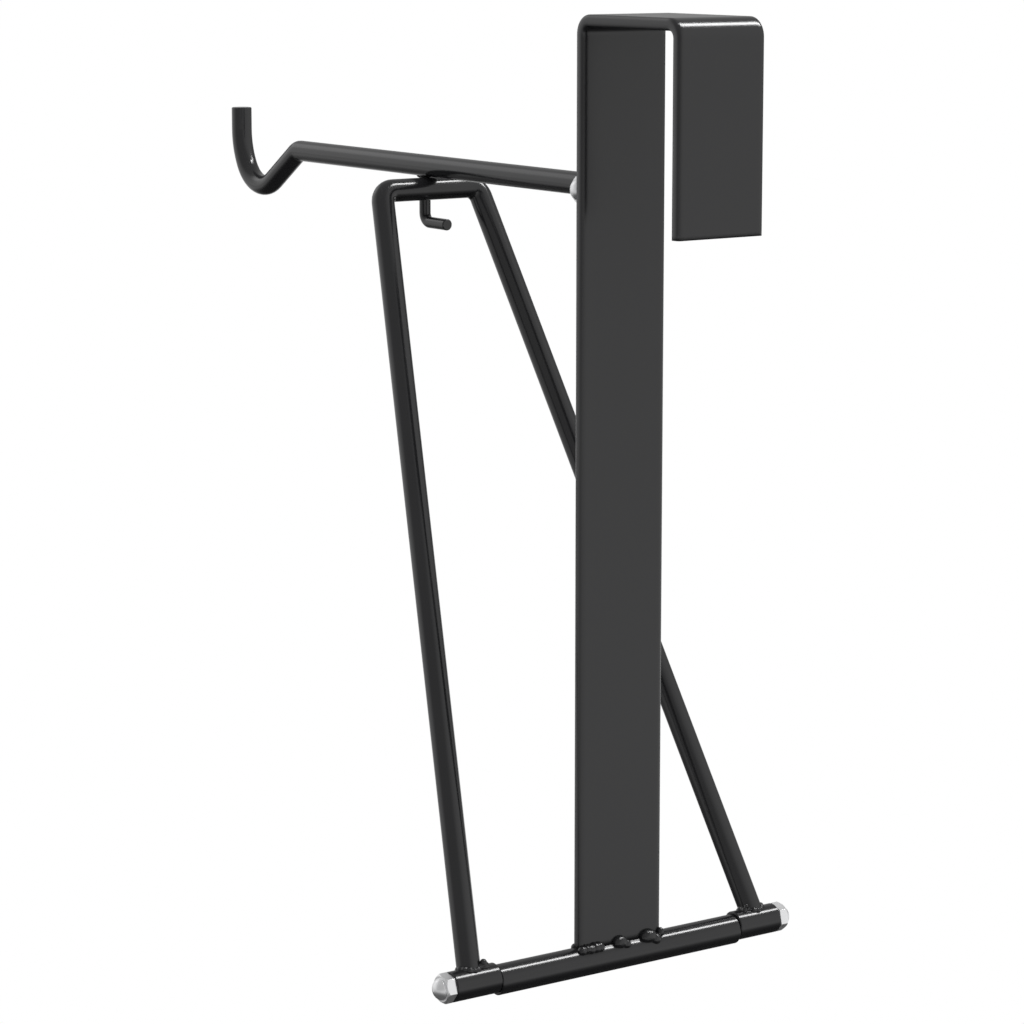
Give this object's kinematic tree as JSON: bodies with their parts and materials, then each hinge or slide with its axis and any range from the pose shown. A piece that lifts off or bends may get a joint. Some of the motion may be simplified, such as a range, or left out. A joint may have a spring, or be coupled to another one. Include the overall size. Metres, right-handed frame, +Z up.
{
  "type": "bicycle wall rack",
  "caption": "Black steel rack that hooks over a door: a flat bar with a hinged arm ending in a hook, held level by a folding U-shaped prop frame.",
  "frame": {"origin": "middle of the underside of the bridge, where the rack rests on the top edge of the door", "axes": "+Z up, -Y away from the door along the arm, +Y towards the short leg behind the door, X along the hinge axes"},
  "size_m": [0.2186, 0.4605, 0.4775],
  "materials": {
    "black_coat": "semi-gloss powder coat",
    "bright_zinc": "bright zinc plate"
  },
  "bodies": {
    "door_hook": {"strap": "black_coat", "cross_tube": "black_coat", "strap_weld": "black_coat", "pivot_bracket": "black_coat", "bracket_weld": "black_coat", "pivot_bolt": "bright_zinc", "pivot_nut": "bright_zinc"},
    "prop_frame": {"frame_rod": "black_coat", "sleeve_near": "black_coat", "sleeve_far": "black_coat", "leg_welds": "black_coat", "axle_rod": "bright_zinc", "axle_nuts": "bright_zinc"},
    "arm": {"arm_rod": "black_coat", "arm_eye": "black_coat", "arm_eye_weld": "black_coat", "latch_rod": "black_coat", "latch_weld": "black_coat"}
  },
  "joints": [
    {"name": "frame_fold", "type": "hinge", "parent": "door_hook", "child": "prop_frame", "pos_m": [0, -0.0384, -0.4626], "axis": [-1, 0, 0], "range_deg": [0, 13]},
    {"name": "arm_lift", "type": "hinge", "parent": "door_hook", "child": "arm", "pos_m": [0, -0.0519, -0.0792], "axis": [-1, 0, 0], "range_deg": [0, 25]}
  ],
  "couplings": [
    {"joint": "arm_lift", "follows": "frame_fold", "ratio": 1.9}
  ]
}
